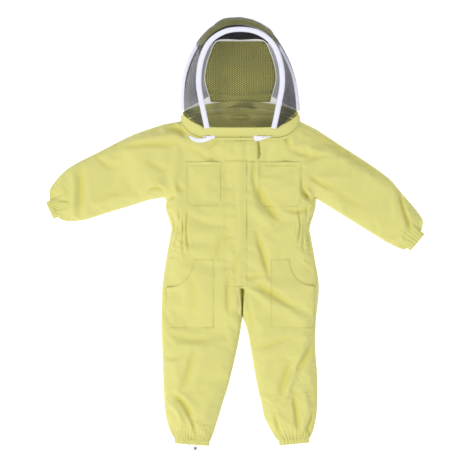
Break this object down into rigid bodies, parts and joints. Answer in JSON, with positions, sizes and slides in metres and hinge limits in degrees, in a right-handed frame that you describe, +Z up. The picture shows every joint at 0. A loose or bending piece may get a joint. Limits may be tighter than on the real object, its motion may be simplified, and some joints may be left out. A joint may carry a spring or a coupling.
{
  "type": "beekeeping suit",
  "caption": "Child's yellow cotton beekeeping coverall laid flat, with a zip-on hooped mesh veil hood, front zip under a storm flap, patch pockets and elastic cuffs.",
  "frame": {"origin": "on the surface that the suit's back lies on, under the centre-front line at the waist", "axes": "+X to the wearer's left, +Y from the ankles to the head, +Z up out of the chest"},
  "size_m": [1.2527, 1.4239, 0.189],
  "materials": {
    "cotton": "matte twill",
    "cotton_lining": "matte",
    "veil_mesh": "fine open mesh",
    "hoop_tape": "matte woven tape",
    "spring_steel": "bright",
    "elastic": "matte knit",
    "zip_tape": "matte woven tape",
    "nylon": "satin",
    "hook_tape": "hook and loop",
    "toggle_plastic": "satin"
  },
  "bodies": {
    "trunk": {"back_body": "cotton", "right_front_body": "cotton", "left_front_body": "cotton", "waist_casing": "elastic", "waist_elastic": "elastic", "right_chest_pocket": "cotton", "left_chest_pocket": "cotton", "right_hip_pocket": "cotton", "left_hip_pocket": "cotton", "main_zip_right": "zip_tape", "main_zip_left": "zip_tape", "main_zip_stop": "nylon", "throat_loop_patch": "hook_tape", "neck_zip_tape": "zip_tape", "right_neck_facing": "cotton_lining", "left_neck_facing": "cotton_lining", "hanger_loop": "cotton"},
    "right_sleeve": {"right_sleeve_back": "cotton", "right_sleeve_front": "cotton", "right_sleeve_hem": "cotton", "right_sleeve_elastic": "elastic"},
    "left_sleeve": {"left_sleeve_back": "cotton", "left_sleeve_front": "cotton", "left_sleeve_hem": "cotton", "left_sleeve_elastic": "elastic"},
    "right_leg": {"right_leg_back": "cotton", "right_leg_front": "cotton", "right_leg_hem": "cotton", "right_leg_elastic": "elastic", "ankle_cord": "elastic", "cord_knot": "elastic"},
    "left_leg": {"left_leg_back": "cotton", "left_leg_front": "cotton", "left_leg_hem": "cotton", "left_leg_elastic": "elastic"},
    "storm_flap": {"storm_flap": "cotton"},
    "throat_flap": {"throat_flap": "cotton", "throat_hook_patch": "hook_tape"},
    "main_slider": {"main_zip_slider": "nylon"},
    "main_pull": {"main_zip_pull": "nylon"},
    "hood": {"hood_zip_tape": "zip_tape", "hood_band": "cotton", "rear_hoop_casing": "hoop_tape", "rear_hoop_rod": "spring_steel", "right_side_veil": "veil_mesh", "left_side_veil": "veil_mesh", "crown_veil": "veil_mesh", "rear_veil": "veil_mesh", "crown_cap": "cotton_lining", "hood_back_panel": "cotton"},
    "front_hoop": {"front_hoop_casing": "hoop_tape", "front_hoop_rod": "spring_steel", "front_veil": "veil_mesh"},
    "right_hood_slider": {"right_hood_slider": "nylon"},
    "left_hood_slider": {"left_hood_slider": "nylon"},
    "right_hood_pull": {"right_hood_pull": "nylon"},
    "left_hood_pull": {"left_hood_pull": "nylon"},
    "toggle": {"cord_toggle": "toggle_plastic"},
    "toggle_button": {"toggle_button": "toggle_plastic"}
  },
  "joints": [
    {"name": "right_sleeve_swing", "type": "hinge", "parent": "trunk", "child": "right_sleeve", "pos_m": [-0.304, 0.235, 0.02], "axis": [0, 0, 1], "range_deg": [-18, 12]},
    {"name": "left_sleeve_swing", "type": "hinge", "parent": "trunk", "child": "left_sleeve", "pos_m": [0.33, 0.19, 0.02], "axis": [0, 0, 1], "range_deg": [-12, 18]},
    {"name": "right_leg_swing", "type": "hinge", "parent": "trunk", "child": "right_leg", "pos_m": [-0.127, -0.24, 0.02], "axis": [0, 0, 1], "range_deg": [-10, 3]},
    {"name": "left_leg_swing", "type": "hinge", "parent": "trunk", "child": "left_leg", "pos_m": [0.134, -0.24, 0.02], "axis": [0, 0, 1], "range_deg": [-3, 10]},
    {"name": "hood_off", "type": "slide", "parent": "trunk", "child": "hood", "axis": [0, 1, 0], "range_m": [0, 0.2]},
    {"name": "front_hoop_fold", "type": "hinge", "parent": "hood", "child": "front_hoop", "pos_m": [0, 0.368, 0.0632], "axis": [1, 0, 0], "range_deg": [-12, 0], "stiffness_Nm_per_rad": 2, "springref_deg": 11.46},
    {"name": "storm_flap_open", "type": "hinge", "parent": "trunk", "child": "storm_flap", "pos_m": [-0.056, 0.04, 0.0466], "axis": [0, -1, 0], "range_deg": [0, 150]},
    {"name": "throat_flap_open", "type": "hinge", "parent": "trunk", "child": "throat_flap", "pos_m": [-0.056, 0.28, 0.0466], "axis": [0, -1, 0], "range_deg": [0, 150]},
    {"name": "main_zip_slide", "type": "slide", "parent": "trunk", "child": "main_slider", "axis": [0, -1, 0], "range_m": [0, 0.43]},
    {"name": "main_pull_flip", "type": "hinge", "parent": "main_slider", "child": "main_pull", "pos_m": [0, 0.2975, 0.0404], "axis": [-1, 0, 0], "range_deg": [0, 4]},
    {"name": "right_hood_zip_slide", "type": "slide", "parent": "trunk", "child": "right_hood_slider", "axis": [1, 0, 0], "range_m": [-0.004, 0.058]},
    {"name": "left_hood_zip_slide", "type": "slide", "parent": "trunk", "child": "left_hood_slider", "axis": [-1, 0, 0], "range_m": [-0.045, 0.016]},
    {"name": "right_hood_pull_flip", "type": "hinge", "parent": "right_hood_slider", "child": "right_hood_pull", "pos_m": [-0.093, 0.326, 0.0436], "axis": [0, 1, 0], "range_deg": [0, 150]},
    {"name": "left_hood_pull_flip", "type": "hinge", "parent": "left_hood_slider", "child": "left_hood_pull", "pos_m": [0.051, 0.326, 0.0436], "axis": [0, -1, 0], "range_deg": [0, 150]},
    {"name": "toggle_slide", "type": "slide", "parent": "right_leg", "child": "toggle", "axis": [0.9662, -0.2577, 0], "range_m": [0, 0.008]},
    {"name": "toggle_press", "type": "slide", "parent": "toggle", "child": "toggle_button", "axis": [0, 0, -1], "range_m": [0, 0.0015], "stiffness_N_per_m": 150, "springref_m": -0.002}
  ]
}
